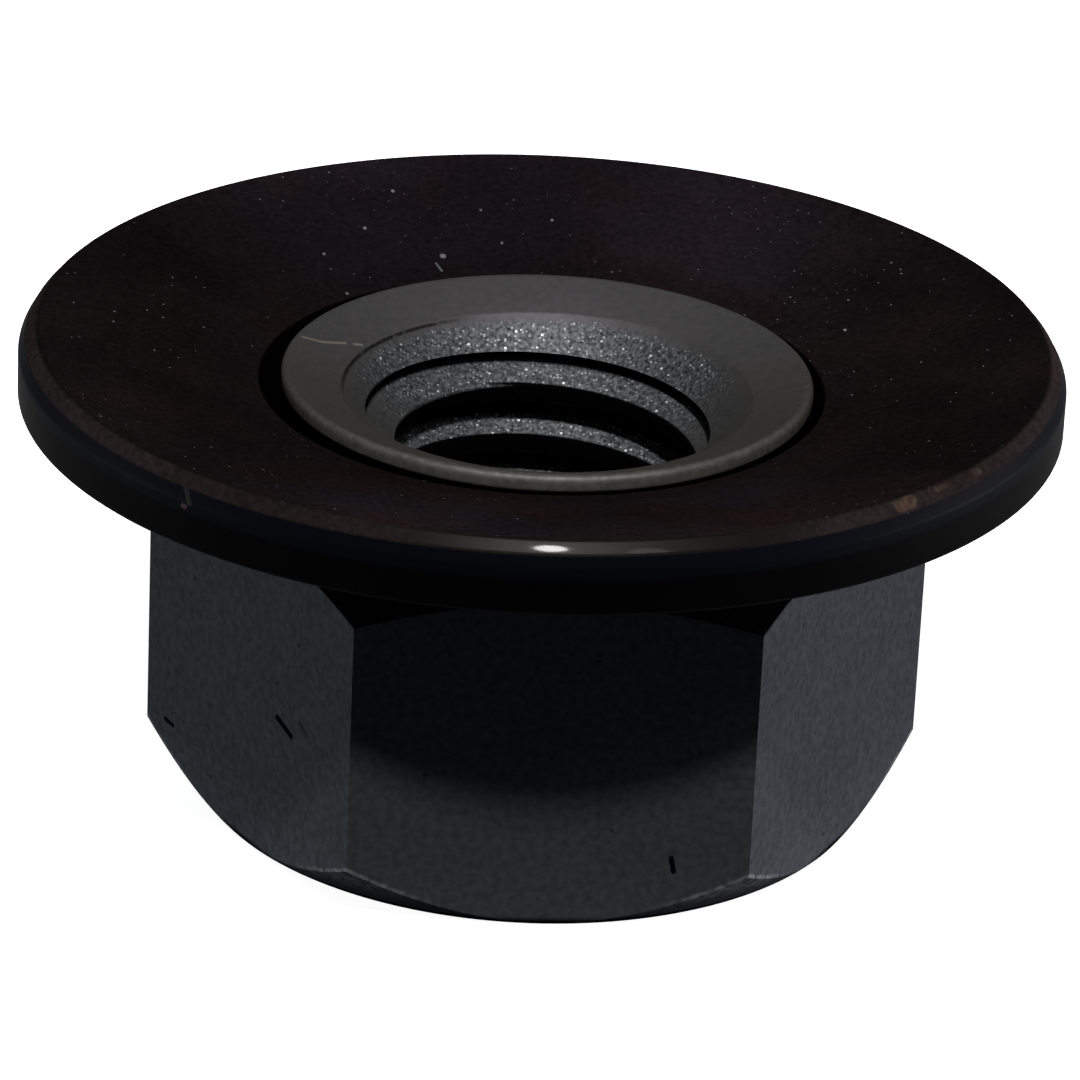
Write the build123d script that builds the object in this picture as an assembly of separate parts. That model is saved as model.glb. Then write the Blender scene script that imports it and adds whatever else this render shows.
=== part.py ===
from build123d import *
import os
from math import cos, radians, tan

# Hex nut with a captive dished washer. Millimetres, +Z along the thread, origin on the
# thread's axis in the plane of the plain hex end, washer uppermost.
#
# The nut is one steel piece: a hex body, and on its shoulder a collar whose end is swaged
# outwards into a lip. The washer is pressed from sheet. It spins freely round the collar,
# and the lip keeps it on the nut.

# Thread
thread_dia = 8.0
thread_pitch = 1.25
bore_reduction = 1.0825         # pitches by which the plain bore is smaller than the thread

# Hex body
across_flats = 15.0
hex_height = 7.9                # plain end to shoulder
corner_round = 0.2              # along the six upright edges
end_inset = 0.05                # chamfer circle inside the flats, at the plain end
end_chamfer_angle = 45.0        # from the end plane
shoulder_inset = 0.4            # chamfer circle inside the flats, at the shoulder
shoulder_chamfer_angle = 30.0
entry_flare = 0.35              # countersink beyond the thread, at the plain end
countersink_angle = 45.0        # from the axis, at both ends of the thread

# Collar with its swaged lip
collar_wall = 1.2               # outside the thread's full diameter
lip_overhang = 0.66             # lip beyond the collar's neck
lip_thickness = 0.39
lip_flare_angle = 45.0          # from the axis, under the lip
lip_dish_angle = 21.4           # fall of the lip's top towards the bore
lip_upper_round = 0.15
mouth_flare = 0.55              # countersink beyond the thread, inside the lip
mouth_round = 0.15

# Dished washer
rim_dia = 23.0
sheet_thickness = 1.6
dish_angle = 13.65              # rise of the sheet towards the rim
seat_width = 0.6                # flat ring round the hole, resting on the shoulder
rim_bevel = 0.36                # across the bevel round the bearing face, along the radius
rim_bevel_angle = 38.0          # from the rim's wall
rim_face_round = 0.4            # between the face and its bevel
rim_back_round = 0.1            # rim's edge on the hex side

# Fit of the washer on the collar
neck_clearance = 0.4            # washer's hole to the collar's neck, at the shoulder
lip_clearance = 0.37            # washer's hole to the lip, at the bearing face
lip_stand = 0.31                # lip's top above the washer's hole edge
washer_drift = 0.12             # sideways lie of the loose washer, towards -X

# Derived radii
thread_r = thread_dia / 2
bore_r = thread_r - bore_reduction * thread_pitch / 2
flat_r = across_flats / 2
corner_r = flat_r / cos(radians(30))
neck_r = thread_r + collar_wall
lip_r = neck_r + lip_overhang
mouth_r = thread_r + mouth_flare
entry_r = thread_r + entry_flare
rim_r = rim_dia / 2
hole_back_r = neck_r + neck_clearance
hole_face_r = lip_r + lip_clearance
seat_r = hole_back_r + seat_width

# Derived heights
dish_slope = tan(radians(dish_angle))
sheet_upright = sheet_thickness / cos(radians(dish_angle))


def washer_back_z(radius):
    """Height of the washer's hex-side surface, outside its flat seat."""
    return hex_height + (radius - seat_r) * dish_slope


def washer_face_z(radius):
    """Height of the washer's bearing-side surface."""
    return washer_back_z(radius) + sheet_upright


lip_top_z = washer_face_z(hole_face_r) + lip_stand
lip_low_z = lip_top_z - lip_thickness
mouth_z = lip_top_z - (lip_r - mouth_r) * tan(radians(lip_dish_angle))


def revolved(outline, rounds):
    """Solid of revolution about Z. outline lists (radius, height) corners, and rounds maps
    the index of a corner to the radius it is rounded with."""
    corners = [Vector(radius, 0, height) for radius, height in outline]
    section = make_face(Polyline(*corners, close=True))
    for index, radius in rounds.items():
        nearest = section.vertices().sort_by_distance(corners[index])[0]
        section = fillet(nearest, radius)
    return revolve(section, Axis.Z)


def hex_bar(height):
    """Hexagonal bar with rounded corners, two of its flats facing -Y and +Y."""
    hexagon = RegularPolygon(flat_r, side_count=6, major_radius=False)
    hexagon = fillet(hexagon.vertices(), corner_round)
    return extrude(hexagon, height)


def hex_nut():
    """Turned blank with both chamfers, the collar, the lip and the bore, cut to the hexagon."""
    end_chamfer_r = flat_r - end_inset
    end_rise = (corner_r - end_chamfer_r) * tan(radians(end_chamfer_angle))
    shoulder_r = flat_r - shoulder_inset
    shoulder_fall = (corner_r - shoulder_r) * tan(radians(shoulder_chamfer_angle))
    flare_low_z = lip_low_z - lip_overhang / tan(radians(lip_flare_angle))
    entry_depth = (entry_r - bore_r) / tan(radians(countersink_angle))
    mouth_depth = (mouth_r - bore_r) / tan(radians(countersink_angle))
    outline = [
        (bore_r, entry_depth),
        (entry_r, 0),
        (end_chamfer_r, 0),
        (corner_r, end_rise),
        (corner_r, hex_height - shoulder_fall),
        (shoulder_r, hex_height),
        (neck_r, hex_height),
        (neck_r, flare_low_z),
        (lip_r, lip_low_z),
        (lip_r, lip_top_z),
        (mouth_r, mouth_z),
        (bore_r, mouth_z - mouth_depth),
    ]
    rounds = {9: lip_upper_round, 10: mouth_round}
    return revolved(outline, rounds) & hex_bar(lip_top_z)


def dished_washer():
    """Pressed sheet ring: flat seat, tapered hole, and a face that rises to a bevelled rim."""
    bevel_r = rim_r - rim_bevel
    bevel_top_z = washer_face_z(bevel_r)
    bevel_low_z = bevel_top_z - rim_bevel / tan(radians(rim_bevel_angle))
    outline = [
        (hole_back_r, hex_height),
        (seat_r, hex_height),
        (rim_r, washer_back_z(rim_r)),
        (rim_r, bevel_low_z),
        (bevel_r, bevel_top_z),
        (hole_face_r, washer_face_z(hole_face_r)),
    ]
    rounds = {2: rim_back_round, 4: rim_face_round}
    return Pos(-washer_drift, 0, 0) * revolved(outline, rounds)


nodes = {
    "hex_nut": hex_nut(),
    "dished_washer": dished_washer(),
}

os.makedirs("parts", exist_ok=True)
for name, solid in nodes.items():
    export_step(solid, f"parts/{name}.step")
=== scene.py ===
from math import cos, pi, radians, sin, tan

import bmesh
import bpy
from mathutils import Matrix, Vector


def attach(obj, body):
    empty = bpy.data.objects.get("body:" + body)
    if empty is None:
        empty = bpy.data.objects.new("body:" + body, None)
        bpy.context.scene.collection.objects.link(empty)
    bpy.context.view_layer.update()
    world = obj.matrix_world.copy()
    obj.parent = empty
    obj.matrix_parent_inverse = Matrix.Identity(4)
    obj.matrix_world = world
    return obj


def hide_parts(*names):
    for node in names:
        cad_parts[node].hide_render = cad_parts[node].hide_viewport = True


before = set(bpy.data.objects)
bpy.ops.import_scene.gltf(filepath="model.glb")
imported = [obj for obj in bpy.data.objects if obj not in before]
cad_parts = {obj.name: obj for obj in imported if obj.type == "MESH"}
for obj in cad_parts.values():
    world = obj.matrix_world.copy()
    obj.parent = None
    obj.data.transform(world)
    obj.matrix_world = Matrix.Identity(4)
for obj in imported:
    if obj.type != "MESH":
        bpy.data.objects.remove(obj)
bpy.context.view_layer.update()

# ---- Camera -------------------------------------------------------------------------
# A long lens quite near the nut, looking down on it from the front and a little from
# the left, and turned slightly about its own axis.
mm = 0.001
camera_aim_z = 5.0 * mm
camera_distance = 136.452 * mm
camera_shift_up = 0.6626 * mm
camera_elevation = radians(24.026)
camera_azimuth = radians(-3.8)
camera_roll = radians(2.636)

ahead = Vector((-sin(camera_azimuth), cos(camera_azimuth), 0))
back = -ahead * cos(camera_elevation) + Vector((0, 0, sin(camera_elevation)))
right = Vector((cos(camera_azimuth), sin(camera_azimuth), 0))
up = back.cross(right)
camera_x = right * cos(camera_roll) + up * sin(camera_roll)
camera_y = back.cross(camera_x)
camera_place = Vector((0, 0, camera_aim_z)) + back * camera_distance + up * camera_shift_up
camera_data = bpy.data.cameras.new("camera")
camera_data.sensor_width = 36.0
camera_data.lens = 203.8
camera_data.clip_start = 0.01
camera_data.clip_end = 10.0
camera = bpy.data.objects.new("camera", camera_data)
bpy.context.scene.collection.objects.link(camera)
camera.matrix_world = Matrix.Translation(camera_place) @ Matrix(
    (camera_x, camera_y, back)).transposed().to_4x4()
bpy.context.scene.camera = camera
bpy.context.scene.view_settings.view_transform = "Standard"

# ---- Floor and light ----------------------------------------------------------------
# A white table top that stays white to the camera and in reflections, and gives back
# less light than it shows. Two lamps stand high in front, and three low ones light the
# right side, the left side and the back.
floor_radius = 1.5
floor_corners = 96
floor_drop = 0.02 * mm          # keeps the table's face clear of the nut's
floor_seen = (0.95, 0.95, 0.95)
floor_unseen = (0.10, 0.10, 0.105)
floor_glow = 0.93
world_colour = (0.95, 0.97, 1.0)
world_strength = 0.04
lamp_distance = 0.50
lamps = [
    # name, azimuth (0 in front, 90 on +X), elevation, width, height, power, colour
    ("front_lamp", 1, 57.5, 0.045, 0.045, 2.4, (1.0, 0.98, 0.95)),
    ("second_lamp", 27, 52, 0.06, 0.06, 0.14, (1.0, 0.98, 0.95)),
    ("right_lamp", 95, 1.4, 0.25, 0.022, 4.4, (1.0, 0.96, 1.0)),
    ("left_lamp", -98, 1.4, 0.25, 0.022, 1.9, (0.93, 0.98, 1.0)),
    ("back_lamp", 176, 2.5, 0.25, 0.03, 1.6, (0.92, 0.95, 1.0)),
]


class Wire:
    """A shader socket. Operators on it add Math nodes, and node() adds any other node."""

    def __init__(self, socket):
        self.socket = socket

    def node(self, kind, settings, inputs, output=0):
        """Adds a node, applies its settings, fills its sockets and gives one output."""
        made = self.socket.id_data.nodes.new(kind)
        for name, value in settings.items():
            setattr(made, name, value)
        for name, value in inputs.items():
            if isinstance(value, Wire):
                self.socket.id_data.links.new(value.socket, made.inputs[name])
            else:
                made.inputs[name].default_value = value
        return Wire(made.outputs[output])

    def beside(self, output):
        """Another output of the node that this one comes from."""
        return Wire(self.socket.node.outputs[output])

    def maths(self, operation, *values):
        return self.node("ShaderNodeMath", {"operation": operation}, dict(enumerate(values)))

    def larger(self, other):
        return self.maths("MAXIMUM", self, other)

    def smaller(self, other):
        return self.maths("MINIMUM", self, other)

    def __abs__(self):
        return self.maths("ABSOLUTE", self)

    def __add__(self, other):
        return self.maths("ADD", self, other)

    def __sub__(self, other):
        return self.maths("SUBTRACT", self, other)

    def __rsub__(self, other):
        return self.maths("SUBTRACT", other, self)

    def __mul__(self, other):
        return self.maths("MULTIPLY", self, other)

    def __pow__(self, other):
        return self.maths("POWER", self, other)

    def __rpow__(self, other):
        return self.maths("POWER", other, self)

    __radd__ = __add__
    __rmul__ = __mul__


def select_none():
    bpy.ops.object.select_all(action="DESELECT")


def new_finish(name):
    """An empty material, and the wire of Object coordinates to start it from."""
    finish = bpy.data.materials.new(name)
    finish.use_nodes = True
    finish.node_tree.nodes.clear()
    start = finish.node_tree.nodes.new("ShaderNodeTexCoord")
    return finish, Wire(start.outputs["Object"])


def put_on(piece, finish, shader):
    """Gives the piece the material, which ends in the shader."""
    output = finish.node_tree.nodes.new("ShaderNodeOutputMaterial")
    finish.node_tree.links.new(shader.socket, output.inputs["Surface"])
    piece.data.materials.append(finish)


def mix_colours(factor, first, second):
    """factor 0 gives the first colour and 1 the second."""
    first = first if isinstance(first, Wire) else (*first, 1.0)
    second = second if isinstance(second, Wire) else (*second, 1.0)
    colours = {0: factor, 6: first, 7: second}
    return factor.node("ShaderNodeMix", {"data_type": "RGBA"}, colours, 2)


select_none()
bpy.ops.mesh.primitive_circle_add(
    vertices=floor_corners, radius=floor_radius, fill_type="NGON", location=(0, 0, -floor_drop))
floor = bpy.context.active_object
floor.name = "floor"
floor_finish, floor_place = new_finish("white_table")
camera_ray = floor_place.node("ShaderNodeLightPath", {}, {}, "Is Camera Ray")
seen = camera_ray.larger(camera_ray.beside("Is Glossy Ray"))
seen = seen.larger(camera_ray.beside("Is Transmission Ray"))
table_colour = mix_colours(seen, floor_unseen, floor_seen)
table = table_colour.node("ShaderNodeBsdfDiffuse", {}, {"Color": table_colour})
glow = table.node("ShaderNodeEmission", {}, {"Color": (1, 1, 1, 1), "Strength": floor_glow})
lifted = table.node("ShaderNodeAddShader", {}, {0: table, 1: glow})
shader = table.node("ShaderNodeMixShader", {}, {0: camera_ray, 1: table, 2: lifted})
put_on(floor, floor_finish, shader)

world = bpy.data.worlds.new("studio")
world.use_nodes = True
sky = world.node_tree.nodes["Background"]
sky.inputs["Color"].default_value = (*world_colour, 1.0)
sky.inputs["Strength"].default_value = world_strength
bpy.context.scene.world = world

for name, azimuth, elevation, width, height, power, colour in lamps:
    lamp_data = bpy.data.lights.new(name, "AREA")
    lamp_data.shape = "ELLIPSE"
    lamp_data.size = width
    lamp_data.size_y = height
    lamp_data.energy = power
    lamp_data.color = colour
    lamp = bpy.data.objects.new(name, lamp_data)
    bpy.context.scene.collection.objects.link(lamp)
    turn, climb = radians(azimuth), radians(elevation)
    way = Vector((sin(turn) * cos(climb), -cos(turn) * cos(climb), sin(climb)))
    lamp.location = way * lamp_distance + Vector((0, 0, camera_aim_z))
    lamp.rotation_mode = "QUATERNION"
    lamp.rotation_quaternion = way.to_track_quat("Z", "Y")
    lamp.visible_camera = False

# ---- Threaded nut -------------------------------------------------------------------
# One piece of phosphated steel. A blank is turned with two chamfers, a collar and a
# countersunk hole, its flats are cut, the thread is tapped, and the collar's end is
# swaged outwards over the washer.
thread_r = 4.0
thread_pitch = 1.25
crest_r = 3.3234                # over the flat crests of the thread
thread_start_z = -2.44          # middle of a crest, on the +X side
thread_turns = 10
flank_slope = tan(radians(30))  # each flank's fall, along the thread
crest_round = 0.05
root_round = 0.07
tap_low_z = -0.7                # the tap is trimmed here, past both ends of the hole
tap_high_z = 9.9
tap_steps = 96
blank_bore_r = 3.2              # drilled before tapping
flat_r = 7.5                    # axis to flat
corner_r = flat_r / cos(radians(30))
corner_round = 0.4
hex_top_z = 7.9
plain_end_r = 7.45              # chamfer circle at the plain end
shoulder_r = 7.1                # chamfer circle at the shoulder
shoulder_chamfer = tan(radians(30))
chamfer_round = 0.06            # on both chamfer circles
entry_r = 4.35                  # countersink at the plain end
entry_round = 0.05
neck_r = 5.2
neck_foot_round = 0.08
neck_top_round = 0.1
lip_r = 5.86
lip_top_z = 9.864
lip_low_z = 9.474
lip_low_round = 0.12
lip_top_round = 0.15
mouth_r = 4.55                  # countersink inside the lip
mouth_z = 9.351
mouth_round = 0.15
lip_dish = tan(radians(21.4))   # fall of the lip's top towards the hole
nut_steps = 160
end_slack = 1.0                 # how far the blank and the hex bar reach past the nut
round_steps = 6
weld = 1e-7                     # points this near each other are one, in metres
smooth_angle = radians(24)

hex_dark = (0.026, 0.029, 0.033)
hex_light = (0.032, 0.034, 0.038)
# painted light: the flats' colour near the bottom, as if lit from the floor
hex_painted_floor_light = (0.038, 0.042, 0.049)
hex_pit = (0.016, 0.016, 0.018)
lip_front = (0.077, 0.074, 0.064)
# painted sheen: the lip's lighter, bluer colour at the rear
lip_rear_painted_sheen = (0.102, 0.099, 0.106)
lip_grey = (0.070, 0.070, 0.072)
# painted highlight on the lip's front edge
lip_painted_highlight = (0.160, 0.160, 0.150)
blasted_dark = (0.050, 0.053, 0.058)
blasted_light = (0.142, 0.149, 0.160)
blasted_pit = (0.020, 0.021, 0.023)
# painted glints: bright specks standing in for grains catching the light
painted_glint = (0.36, 0.38, 0.41)
bright_painted_glint = (0.78, 0.82, 0.88)
# painted shade on the thread's crest flats
crest_painted_shade = (0.0010, 0.0010, 0.0010)
# painted shade in the thread's roots and under its flanks
thread_painted_shade = (0.0010, 0.0010, 0.0012)
# painted shade under the washer
shoulder_painted_shade = (0.0015, 0.0015, 0.002)
# painted shade line on the lip
mouth_painted_shade = (0.010, 0.009, 0.008)
hair_tan = (0.34, 0.29, 0.25)
scrape_black = (0.0005, 0.0010, 0.0040)
faint_blue = (0.004, 0.005, 0.012)
# a light worn burr with a painted glint at the plain end's corners
burr_and_glint_light = (0.11, 0.12, 0.13)
# painted shade on the plain end's chamfer
chamfer_painted_shade = (0.0050, 0.0052, 0.0060)
# painted contact shadow along the foot
foot_painted_shadow = (0.0012, 0.0012, 0.0015)

# Single marks: start, end and width, in mm
# painted shade: a thin dark line on the lip near the mouth
mouth_shade_r = 4.5                    # a dark ring on the lip, seen at the rear left
hair_marks = [
    ((-5.36, 1.74, 9.78), (-4.93, 1.83, 9.63), 0.09),
    ((-4.93, 1.83, 9.63), (-4.41, 2.14, 9.49), 0.09),
    ((-4.2, 2.22, 9.43), (-4.03, 2.3, 9.38), 0.09),
]
scrape_marks = [
    ((-5.83, -4.9, 3.59), (-5.54, -5.4, 3.4), 0.16),
    ((-8.25, -0.71, 1.49), (-8.08, -1.0, 1.47), 0.12),
    ((2.63, -7.5, 1.66), (2.70, -7.5, 1.34), 0.12),
]
faint_mark = ((-5.36, -5.71, 3.85), (-5.22, -5.95, 3.69), 0.12)


def select_only(piece):
    """Selects one piece and makes it the active one."""
    select_none()
    piece.select_set(True)
    bpy.context.view_layer.objects.active = piece


def empty_piece(name):
    """A new piece without any mesh, in edit mode."""
    select_none()
    bpy.ops.mesh.primitive_plane_add(size=1)
    piece = bpy.context.active_object
    piece.name = name
    bpy.ops.object.mode_set(mode="EDIT")
    bpy.ops.mesh.delete(type="VERT")
    return piece


def chain_corners(piece, outline, closed):
    """Draws (radius, height, rounding) corners, in mm, as a chain of edges in the XZ plane."""
    shape = bmesh.from_edit_mesh(piece.data)
    corners = [Vector((radius, 0, height)) * mm for radius, height, _ in outline]
    points = [shape.verts.new(corner) for corner in corners]
    pairs = list(zip(points, points[1:] + points[:1]))
    for first, second in pairs if closed else pairs[:-1]:
        shape.edges.new((first, second))
    bmesh.update_edit_mesh(piece.data)
    for index, (_, _, rounding) in enumerate(outline):
        if not rounding:
            continue
        shape = bmesh.from_edit_mesh(piece.data)
        here = corners[index]
        before = (corners[index - 1] - here).normalized()
        after = (corners[(index + 1) % len(corners)] - here).normalized()
        reach = rounding * mm / tan(before.angle(after) / 2)
        for vert in shape.verts:
            vert.select = (vert.co - here).length < weld
        shape.select_flush_mode()
        bmesh.update_edit_mesh(piece.data)
        bpy.ops.mesh.bevel(offset=reach, segments=round_steps, affect="VERTICES", profile=0.5)


def merge_all():
    """Merges the doubles of the mesh in edit mode, all of which is left selected."""
    bpy.ops.mesh.select_all(action="SELECT")
    bpy.ops.mesh.remove_doubles(threshold=weld)


def close_up():
    """Turns the normals of the mesh in edit mode outwards, and ends edit mode."""
    bpy.ops.mesh.select_all(action="SELECT")
    bpy.ops.mesh.normals_make_consistent(inside=False)
    bpy.ops.object.mode_set(mode="OBJECT")


def turned(name, outline, steps):
    """Spins a closed outline about Z."""
    piece = empty_piece(name)
    chain_corners(piece, outline, closed=True)
    bpy.ops.mesh.select_all(action="SELECT")
    bpy.ops.mesh.spin(steps=steps, angle=2 * pi, center=(0, 0, 0), axis=(0, 0, 1))
    merge_all()
    close_up()
    return piece


def cut(piece, tool, operation):
    """Boolean of piece with tool, which is then thrown away."""
    select_only(piece)
    step = piece.modifiers.new("cut", "BOOLEAN")
    step.operation = operation
    step.solver = "EXACT"
    step.object = tool
    bpy.ops.object.modifier_apply(modifier=step.name)
    bpy.data.objects.remove(tool, do_unlink=True)


blank_r = corner_r + end_slack
blank_outline = [
    (blank_bore_r, entry_r - blank_bore_r, 0),
    (entry_r, 0, entry_round),
    (plain_end_r, 0, chamfer_round),
    (blank_r, blank_r - plain_end_r, 0),
    (blank_r, hex_top_z - (blank_r - shoulder_r) * shoulder_chamfer, 0),
    (shoulder_r, hex_top_z, chamfer_round),
    (neck_r, hex_top_z, neck_foot_round),
    (neck_r, lip_low_z - (lip_r - neck_r), neck_top_round),
    (lip_r, lip_low_z, lip_low_round),
    (lip_r, lip_top_z, lip_top_round),
    (mouth_r, mouth_z, mouth_round),
    (blank_bore_r, mouth_z - (mouth_r - blank_bore_r), 0),
]
nut = turned("threaded_nut", blank_outline, nut_steps)

# The hex bar's upright edges, the only long ones, are rounded.
select_none()
bar_depth = (lip_top_z + 2 * end_slack) * mm
bpy.ops.mesh.primitive_cylinder_add(
    vertices=6, radius=corner_r * mm, depth=bar_depth,
    location=(0, 0, lip_top_z * mm / 2), rotation=(0, 0, radians(30)))
bar = bpy.context.active_object
bpy.ops.object.transform_apply()
bpy.ops.object.mode_set(mode="EDIT")
bpy.ops.mesh.select_all(action="DESELECT")
bar_mesh = bmesh.from_edit_mesh(bar.data)
for edge in bar_mesh.edges:
    ends = edge.verts[0].co - edge.verts[1].co
    edge.select_set(abs(ends.z) > bar_depth / 2)
bmesh.update_edit_mesh(bar.data)
corner_reach = corner_round * tan(radians(30)) * mm
bpy.ops.mesh.bevel(offset=corner_reach, segments=round_steps, profile=0.5)
bpy.ops.object.mode_set(mode="OBJECT")
cut(nut, bar, "INTERSECT")

# The tap is one pitch of the thread's outline, wound up past both ends of the hole.
crest_half = thread_pitch / 8
flank_rise = (thread_r - crest_r) * flank_slope
root_flat = thread_pitch - 2 * crest_half - 2 * flank_rise
tap_outline = [
    (crest_r, 0, 0),
    (crest_r, crest_half, crest_round),
    (thread_r, crest_half + flank_rise, root_round),
    (thread_r, crest_half + flank_rise + root_flat, root_round),
    (crest_r, thread_pitch - crest_half, crest_round),
    (crest_r, thread_pitch, 0),
]
tap_outline = [(r, z + thread_start_z, rounding) for r, z, rounding in tap_outline]
tap = empty_piece("tap")
chain_corners(tap, tap_outline, closed=False)
bpy.ops.object.mode_set(mode="OBJECT")
winding = tap.modifiers.new("winding", "SCREW")
winding.axis = "Z"
winding.angle = 2 * pi
winding.screw_offset = thread_pitch * mm
winding.iterations = thread_turns
winding.steps = tap_steps
winding.render_steps = tap_steps
winding.use_merge_vertices = True
winding.merge_threshold = weld
bpy.ops.object.modifier_apply(modifier=winding.name)
bpy.ops.object.mode_set(mode="EDIT")
merge_all()
for trim_z, upper in ((tap_low_z, False), (tap_high_z, True)):
    bpy.ops.mesh.select_all(action="SELECT")
    bpy.ops.mesh.bisect(
        plane_co=(0, 0, trim_z * mm), plane_no=(0, 0, 1), use_fill=True,
        clear_outer=upper, clear_inner=not upper, threshold=weld)
close_up()
cut(nut, tap, "DIFFERENCE")

select_only(nut)
bpy.ops.object.shade_smooth_by_angle(angle=smooth_angle)
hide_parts("hex_nut")
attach(nut, "nut")


def axis(place, name):
    """One coordinate of the place on a piece, in mm."""
    return place.node("ShaderNodeSeparateXYZ", {}, {0: place}, name) * 1000


def rise(value, start, end):
    """0 before start, 1 past end, soft between. A start above the end turns it round."""
    return value.node("ShaderNodeMapRange", {"interpolation_type": "SMOOTHSTEP"},
                      {"Value": value, "From Min": start, "From Max": end})


def moved(place, shift):
    """The place moved by shift metres on all three axes, so that patterns differ."""
    return place.node("ShaderNodeMapping", {}, {"Vector": place, "Location": (shift,) * 3})


def cloud(place, size, shift=0.0):
    """Soft noise about 0.5 with features of the given size, in mm."""
    return place.node("ShaderNodeTexNoise", {}, {
        "Vector": moved(place, shift), "Scale": 1000 / size, "Detail": 3.0})


def grit(place, spacing, share, dot, shift=0.0):
    """Scattered round specks: their spacing in mm, the share that shows, and their size."""
    near = place.node("ShaderNodeTexVoronoi", {}, {
        "Vector": moved(place, shift), "Scale": 1000 / spacing})
    pick = near.node("ShaderNodeSeparateColor", {}, {0: near.beside("Color")}, "Red")
    return rise(pick, 1 - share, 1 - share + 0.02) * rise(near, dot, dot * 0.6)


def mark(place, start, end, width):
    """A straight mark between two points, all in mm: 1 on it, and 0 beside it."""
    line = Vector(end) - Vector(start)
    offset = place.node("ShaderNodeVectorMath", {"operation": "MULTIPLY_ADD"},
                        {0: place, 1: (1000, 1000, 1000), 2: tuple(-Vector(start))})
    along = offset.node("ShaderNodeVectorMath", {"operation": "DOT_PRODUCT"},
                        {0: offset, 1: tuple(line / line.length_squared)}, "Value")
    along = along.larger(0).smaller(1)
    nearest = along.node("ShaderNodeVectorMath", {"operation": "SCALE"},
                         {0: tuple(line), "Scale": along})
    gap = nearest.node("ShaderNodeVectorMath", {"operation": "DISTANCE"},
                       {0: offset, 1: nearest}, "Value")
    return rise(gap, width * 0.6, width * 0.35)


def marks(place, lines):
    """Several straight marks in one."""
    drawn = mark(place, *lines[0])
    for line in lines[1:]:
        drawn = drawn.larger(mark(place, *line))
    return drawn


def layered(colour, layers):
    """Covers a colour with others in their order, each where its mask is 1."""
    for mask, cover in layers:
        colour = mix_colours(mask, colour, cover)
    return colour


def shaded(colour, tint):
    """The colour made lighter or darker."""
    return colour.node("ShaderNodeVectorMath", {"operation": "SCALE"}, {0: colour, "Scale": tint})


def relief(grain, strength):
    """The grain as a bump 0.02 mm high."""
    return grain.node("ShaderNodeBump", {}, {
        "Height": grain, "Strength": strength, "Distance": 0.02 * mm})


# Where the parts of the surface are
nut_finish, nut_place = new_finish("phosphated_steel")
across = axis(nut_place, "X")
deep = axis(nut_place, "Y")
level = axis(nut_place, "Z")
radius = (across * across + deep * deep) ** 0.5
facing = nut_place.node("ShaderNodeNewGeometry", {}, {}, "Normal")
facing_up = facing.node("ShaderNodeSeparateXYZ", {}, {0: facing}, "Z")
in_bore = rise(radius, mouth_r + 0.08, mouth_r + 0.02)
lip_level = level - (radius - mouth_r) * lip_dish
on_lip = rise(lip_level, mouth_z - 0.45, mouth_z - 0.38)
shoulder_level = level + (radius.larger(shoulder_r) - shoulder_r) * shoulder_chamfer
# painted shade on the shoulder chamfer and the neck, under the washer
shaded_under_washer = rise(shoulder_level, hex_top_z - 0.08, hex_top_z - 0.03)
shaded_under_washer = shaded_under_washer * (1 - on_lip) * (1 - in_bore)
mouth_cone = mouth_z - mouth_r
below_mouth = rise(level - radius, mouth_cone - 0.02, mouth_cone - 0.08)
above_entry = rise(level + radius, entry_r + 0.02, entry_r + 0.08)
in_thread = below_mouth * above_entry * in_bore
in_root = in_thread * rise(radius, thread_r - 0.14, thread_r - 0.04)
on_crest = in_thread * rise(radius, crest_r + 0.12, crest_r + 0.07)
# painted shade on the thread's flanks that face down
shaded_under_flank = in_thread * rise(facing_up, -0.3, -0.6)
turned_part = on_lip.larger(in_bore)
grainy = rise(radius, mouth_r - 0.05, mouth_r - 0.30)
# towards the rear, where the blasted grain shows most and the painted glints are put
grain_and_glints_rear = rise(deep, 0.3, 2.4)
above_end = level - radius + plain_end_r
mottle = cloud(nut_place, size=1.6)
grain = cloud(nut_place, size=0.18, shift=0.3)

# Phosphated flats, painted lighter towards the bottom as light from the floor, a smoother lip,
# painted lighter at the rear as sheen, and blasted steel inside the mouth with painted glints
steel = layered(mix_colours(mottle, hex_dark, hex_light), [
    # painted light: the flats lighter towards the bottom, as if lit from the floor
    (rise(level, 2.2, 0.2) * 0.5, hex_painted_floor_light),
    (grit(nut_place, spacing=0.45, share=0.10, dot=0.16), hex_pit),
])
# painted highlight along the lip's outer edge at the front, broken up by the grain
lip_front_highlight = rise(radius, lip_r - 0.22, lip_r - 0.06) * rise(deep, 0.0, -4.0)
# the lip painted lighter and bluer towards the rear, as sheen
lip_steel = layered(mix_colours(rise(deep, -3.5, 4.5), lip_front, lip_rear_painted_sheen), [
    (mottle * 0.3, lip_grey),
    (lip_front_highlight * (rise(grain, 0.3, 0.7) * 0.3 + 0.4), lip_painted_highlight),
])
blasted = rise(cloud(nut_place, size=0.085, shift=0.6), 0.36, 0.64) * (grain_and_glints_rear * 0.6 + 0.4)
pits = grit(nut_place, spacing=0.14, share=0.26, dot=0.36, shift=0.2)
# painted glints, towards the rear of the mouth
painted_glints = grit(nut_place, spacing=0.080, share=0.30, dot=0.40, shift=0.7)
bright_painted_glints = grit(nut_place, spacing=0.120, share=0.09, dot=0.34, shift=0.9)
rough_steel = layered(mix_colours(blasted, blasted_dark, blasted_light), [
    (pits * grain_and_glints_rear * 0.85, blasted_pit),
    (painted_glints * grain_and_glints_rear, painted_glint),
    (bright_painted_glints * grain_and_glints_rear, bright_painted_glint),
])

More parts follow.
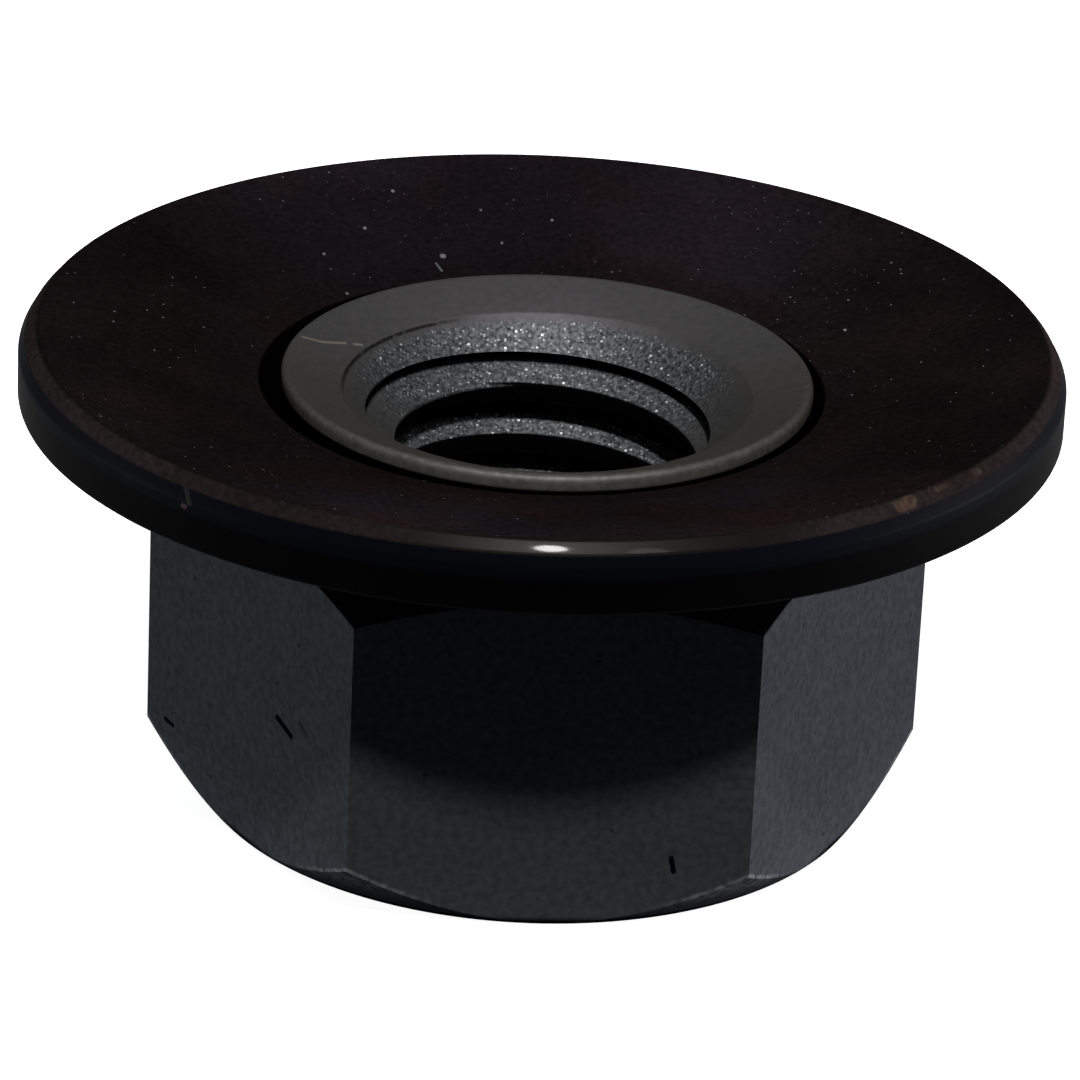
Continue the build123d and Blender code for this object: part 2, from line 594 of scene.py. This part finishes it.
# Marks, the light burr with a painted glint where the flats meet the plain end's chamfer, and
# painted shade in the thread, under the washer, on the chamfer, along the foot and in a line on
# the lip
# a painted shade line along the mouth at the rear left, broken up by the grain
mouth_shade_line = rise(abs(radius - mouth_shade_r), 0.045, 0.015) * rise(grain, 0.25, 0.5)
mouth_shade_line = mouth_shade_line * rise(across, -1.2, -2.6) * rise(deep, -0.8, 1.0) * on_lip
# a worn burr with a painted glint, where the flats meet the plain end's chamfer
burr_and_glint = rise(above_end, 0.13, 0.05) * rise(radius, 7.75, 8.3)
burr_and_glint = burr_and_glint * (rise(grain, 0.3, 0.6) * 0.7 + 0.3)
colour = layered(steel, [
    (turned_part, lip_steel),
    (grainy * (grain_and_glints_rear * 0.65 + 0.35), rough_steel),
    # painted shade on the crest flats
    (on_crest, crest_painted_shade),
    # painted shade in the roots and on the flanks that face down
    (in_root, thread_painted_shade),
    (shaded_under_flank, thread_painted_shade),
    # painted shade under the washer
    (shaded_under_washer, shoulder_painted_shade),
    (mouth_shade_line * 0.85, mouth_painted_shade),
    (marks(nut_place, hair_marks) * 0.6, hair_tan),
    (marks(nut_place, scrape_marks), scrape_black),
    (mark(nut_place, *faint_mark) * 0.6, faint_blue),
    (burr_and_glint * 0.7, burr_and_glint_light),
    # painted shade on the plain end's chamfer
    (rise(above_end, 0.025, 0.010) * 0.35, chamfer_painted_shade),
    # painted contact shadow along the foot
    (rise(level, 0.22, 0.08) * (1 - in_bore), foot_painted_shadow),
])
tint = rise(grain, 0.2, 0.8) * (0.5 - on_lip * 0.3) + (0.75 + on_lip * 0.15)
shader = nut_place.node("ShaderNodeBsdfPrincipled", {}, {
    "Base Color": shaded(colour, tint), "Roughness": 0.62, "Specular IOR Level": 0.0,
    "Metallic": turned_part * (1 - on_crest) * (1 - in_root) * 0.68,
    "Normal": relief(grain, 0.15)})
put_on(nut, nut_finish, shader)

# ---- Dished washer ------------------------------------------------------------------
# A ring punched from steel sheet, pressed to a shallow cone and blackened in oil. Its
# rim is bevelled on the face side, and its hole widens towards the lip that keeps it on.
sheet = 1.6
dish_angle = radians(13.65)
dish_slope = tan(dish_angle)
sheet_upright = sheet / cos(dish_angle)
rim_r = 11.5
rim_top_z = 10.2
hole_back_r = 5.6
hole_face_r = 6.23
seat_r = 6.2
bevel_r = 11.12                 # where the rim's bevel meets the face
bevel_low_r = 11.335            # where the bevel turns down towards the rim
bevel_low_z = 10.492
back_round = 0.1                # on the hole and the rim, on the hex side
rim_round = 0.2
bevel_low_round = 0.03
bevel_round = 0.15
hole_round = 0.08
washer_drift = -0.12            # the loose washer lies to one side
washer_steps = 256

face_warm = (0.0112, 0.0064, 0.0066)
face_cool = (0.0092, 0.0071, 0.0088)
# painted sheen: the face's lighter, bluer colour at the rear
face_rear_painted_sheen = (0.0122, 0.0092, 0.0125)
# painted shade on the face towards the left and right
face_side_painted_shade = (0.0042, 0.0036, 0.0036)
dust_grey = (0.16, 0.16, 0.18)
fine_dust_grey = (0.09, 0.09, 0.10)
fleck_grey = (0.17, 0.17, 0.19)
# painted shade on the face near the hole
near_hole_painted_shade = (0.004, 0.003, 0.003)
# painted shade on the hole's wall
hole_painted_shade = (0.0004, 0.0004, 0.0004)
bevel_brown = (0.0145, 0.0112, 0.0106)
chip_tan = (0.042, 0.028, 0.019)
worn_steel = (0.0080, 0.0079, 0.0073)
# painted shade on the lower part of the rim's wall
rim_painted_shade = (0.0003, 0.0003, 0.0004)
rim_light = (0.0014, 0.0018, 0.0032)
nick_grey = (0.013, 0.015, 0.014)
spot_pink = (0.035, 0.020, 0.021)

# Single marks: a fibre, round flecks, chips on the bevel, a nick and a spot on the rim
fibre_mark = ((-2.25, 6.55, 9.71), (-2.12, 6.26, 9.64), 0.05)
fleck_spots = [
    # x, y, z and width
    (-2.08, 6.85, 9.77, 0.144), (-3.19, 9.28, 10.42, 0.090), (-3.87, 7.65, 10.11, 0.081),
    (-4.83, 6.34, 9.96, 0.072), (-4.32, 4.84, 9.6, 0.072), (-1.15, 8.77, 10.19, 0.063),
    (0.5, 8.45, 10.1, 0.072), (-0.7, 7.51, 9.87, 0.063), (6.82, 2.66, 9.84, 0.072),
]
fleck_half = 0.02
chip_marks = [
    # start, end, width and strength
    ((6.85, -8.84, 10.62), (7.12, -8.60, 10.62), 0.30, 1.0),
    ((7.72, -8.05, 10.68), (8.00, -7.85, 10.68), 0.18, 0.5),
    ((8.62, -7.08, 10.65), (8.72, -6.98, 10.65), 0.20, 0.5),
]
nick_mark = ((-8.03, -8.02, 10.74), (-7.84, -8.50, 10.2), 0.12)
spot_mark = ((-7.98, -8.40, 10.1), (-7.93, -8.44, 10.1), 0.12)


def washer_back_z(radius):
    return hex_top_z + (radius - seat_r) * dish_slope


washer_outline = [
    (hole_back_r, hex_top_z, back_round),
    (seat_r, hex_top_z, 0),
    (rim_r, washer_back_z(rim_r), back_round),
    (rim_r, rim_top_z, rim_round),
    (bevel_low_r, bevel_low_z, bevel_low_round),
    (bevel_r, washer_back_z(bevel_r) + sheet_upright, bevel_round),
    (hole_face_r, washer_back_z(hole_face_r) + sheet_upright, hole_round),
]
washer = turned("dished_washer_ring", washer_outline, washer_steps)
washer.location = (washer_drift * mm, 0, 0)
select_only(washer)
bpy.ops.object.transform_apply()
bpy.ops.object.shade_smooth_by_angle(angle=smooth_angle)
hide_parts("dished_washer")
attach(washer, "washer")

# Where the parts of the surface are
washer_finish, washer_place = new_finish("oiled_steel")
across = axis(washer_place, "X") - washer_drift
deep = axis(washer_place, "Y")
level = axis(washer_place, "Z")
radius = (across * across + deep * deep) ** 0.5
mottle = cloud(washer_place, size=2.5, shift=0.1)
grain = cloud(washer_place, size=0.15, shift=0.2)
on_rim = rise(radius, bevel_low_r + 0.01, bevel_low_r + 0.04)
on_bevel = rise(radius, bevel_r - 0.03, bevel_r + 0.05) * (1 - on_rim)
near_hole = rise(radius, hole_face_r + 1.3, hole_face_r + 0.3)
in_hole = rise(radius, hole_face_r + 0.04, hole_face_r - 0.02)
# painted shade on the face towards the left and right, in patches
shaded_sides = rise(abs(across), 4.0, 8.5) * (rise(mottle, 0.2, 0.7) * 0.5 + 0.4)
worn_patch = rise(across, -5.0, -1.8) * rise(across, 6.2, 3.0) * rise(deep, -5.0, -8.0)

# An oily face with dust in patches, single flecks, and a brown bevel with chips; painted sheen
# towards the rear, and painted shade towards the sides, near the hole and on the hole's wall
dust = grit(washer_place, spacing=0.18, share=0.10, dot=0.15)
dust = dust * rise(cloud(washer_place, size=4.0, shift=0.5), 0.42, 0.60)
fine_dust = grit(washer_place, spacing=0.12, share=0.16, dot=0.20, shift=0.4)
fine_dust = fine_dust * rise(cloud(washer_place, size=3.0, shift=0.8), 0.50, 0.64)
fleck_marks = [((x, y - fleck_half, z), (x, y + fleck_half, z), width)
               for x, y, z, width in fleck_spots]
chips = sum(mark(washer_place, start, end, width) * strength
            for start, end, width, strength in chip_marks)
chips = chips * rise(cloud(washer_place, size=0.16, shift=0.4), 0.25, 0.50)
colour = layered(mix_colours(rise(mottle, 0.25, 0.75), face_warm, face_cool), [
    # the face painted lighter and bluer towards the rear, as sheen
    (rise(deep, 1.0, 8.0) * 0.6, face_rear_painted_sheen),
    (shaded_sides, face_side_painted_shade),
    (dust, dust_grey),
    (fine_dust * 0.8, fine_dust_grey),
    (marks(washer_place, [fibre_mark, *fleck_marks]), fleck_grey),
    # painted shade near the hole
    (near_hole * 0.3, near_hole_painted_shade),
    # painted shade on the hole's wall
    (in_hole, hole_painted_shade),
    (on_bevel * (mottle * 0.4 + 0.5), bevel_brown),
    (chips * 0.8, chip_tan),
])
smears = rise(cloud(washer_place, size=7.0, shift=0.9), 0.3, 0.7) * 0.5 + 0.75
tint = (rise(grain, 0.2, 0.8) * 0.6 + 0.7) * smears
dull = washer_place.node("ShaderNodeBsdfPrincipled", {}, {
    "Base Color": shaded(colour, tint), "Roughness": 0.6, "Specular IOR Level": 0.0,
    "Normal": relief(grain, 0.2)})

# Bare steel where the bevel is rubbed bright at the front, and the rim's dark wall, painted
# darker towards its bottom as shade
worn = washer_place.node("ShaderNodeBsdfPrincipled", {}, {
    "Base Color": (*worn_steel, 1.0), "Roughness": 0.42, "Specular IOR Level": 0.02,
    "Metallic": 0.8, "Coat Weight": 0.04, "Coat Roughness": 0.06})
# the rim's wall, painted darker towards its bottom as shade
rim_colour = layered(mix_colours(rise(level, 9.9, 10.05), rim_painted_shade, rim_light), [
    (mark(washer_place, *nick_mark) * 0.7, nick_grey),
    (mark(washer_place, *spot_mark), spot_pink),
])
slick = washer_place.node("ShaderNodeBsdfPrincipled", {}, {
    "Base Color": rim_colour, "Roughness": 0.55, "Specular IOR Level": 0.009})
shader = dull.node("ShaderNodeMixShader", {}, {0: on_bevel * worn_patch, 1: dull, 2: worn})
shader = shader.node("ShaderNodeMixShader", {}, {0: on_rim, 1: shader, 2: slick})
put_on(washer, washer_finish, shader)
